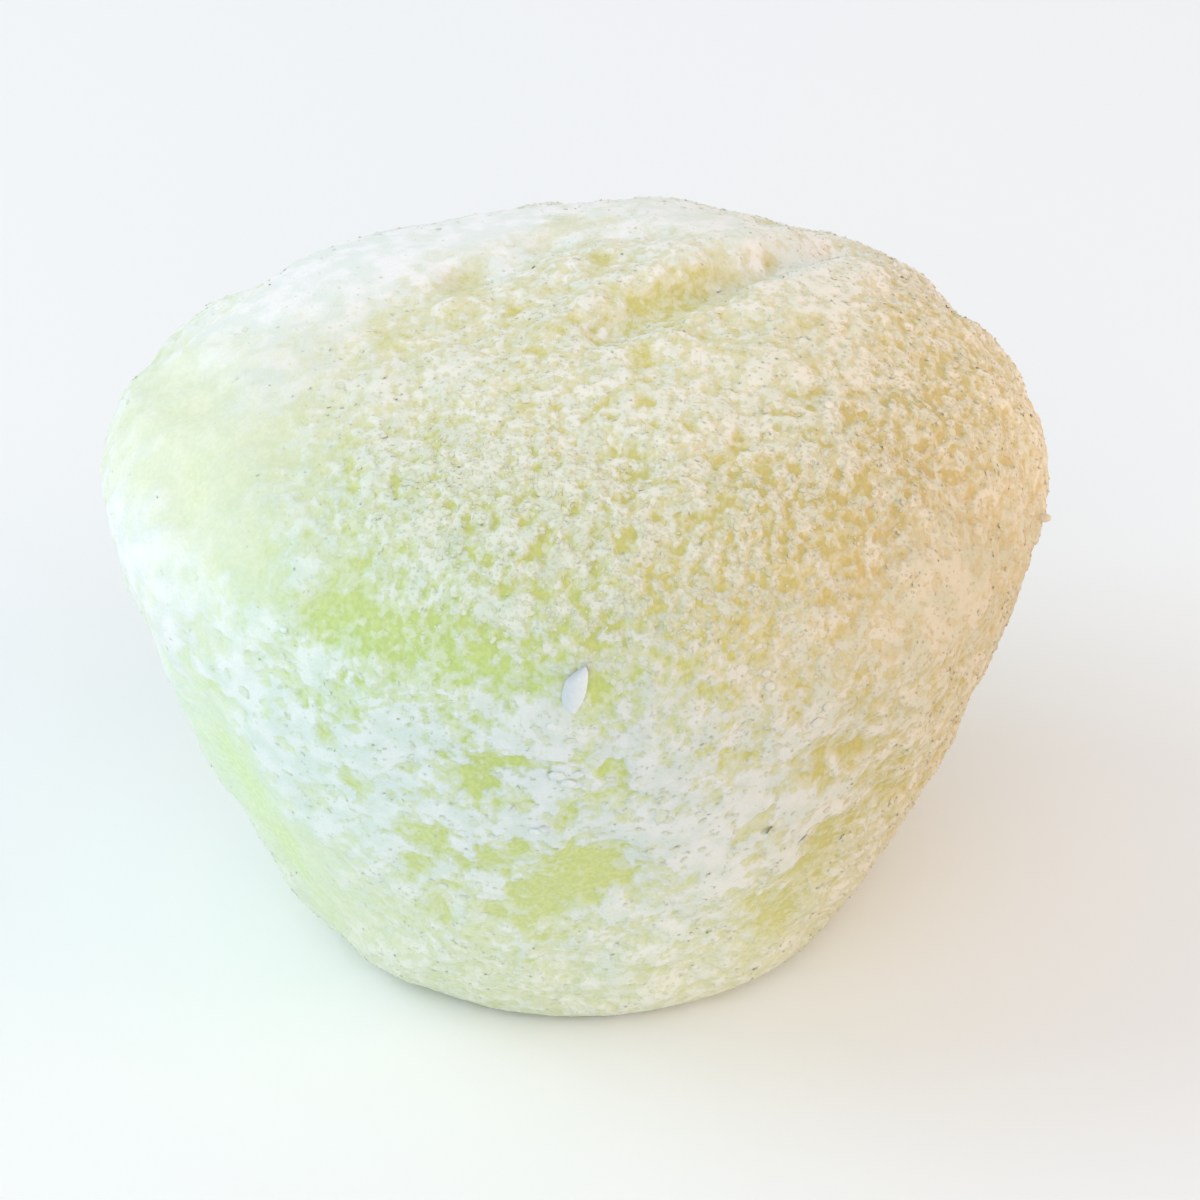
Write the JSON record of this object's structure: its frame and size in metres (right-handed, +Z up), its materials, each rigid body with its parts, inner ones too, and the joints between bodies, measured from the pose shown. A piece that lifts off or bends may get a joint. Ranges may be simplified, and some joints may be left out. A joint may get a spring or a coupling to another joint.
{
  "type": "green tea mochi ice cream",
  "caption": "One whole frosted green tea mochi ice cream: a soft lop-sided ball with a low creased dome, tapering flanks, frost crust and flakes, and a flat foot to rest on.",
  "frame": {"origin": "middle of the flat underside: the centre of the bounding box in X and Y, on the surface that the piece stands on", "axes": "+Z up, the shortest extent; the pictured side faces -Y, with +X to the right as seen from there"},
  "size_m": [0.0488, 0.0492, 0.0331],
  "materials": {
    "frosted_dough": "soft pale green rice dough, greener on its left and more ochre on its right, under a matt white crust of frost grains and flakes, slightly translucent"
  },
  "bodies": {
    "root": {"mochi": "frosted_dough"}
  },
  "joints": []
}
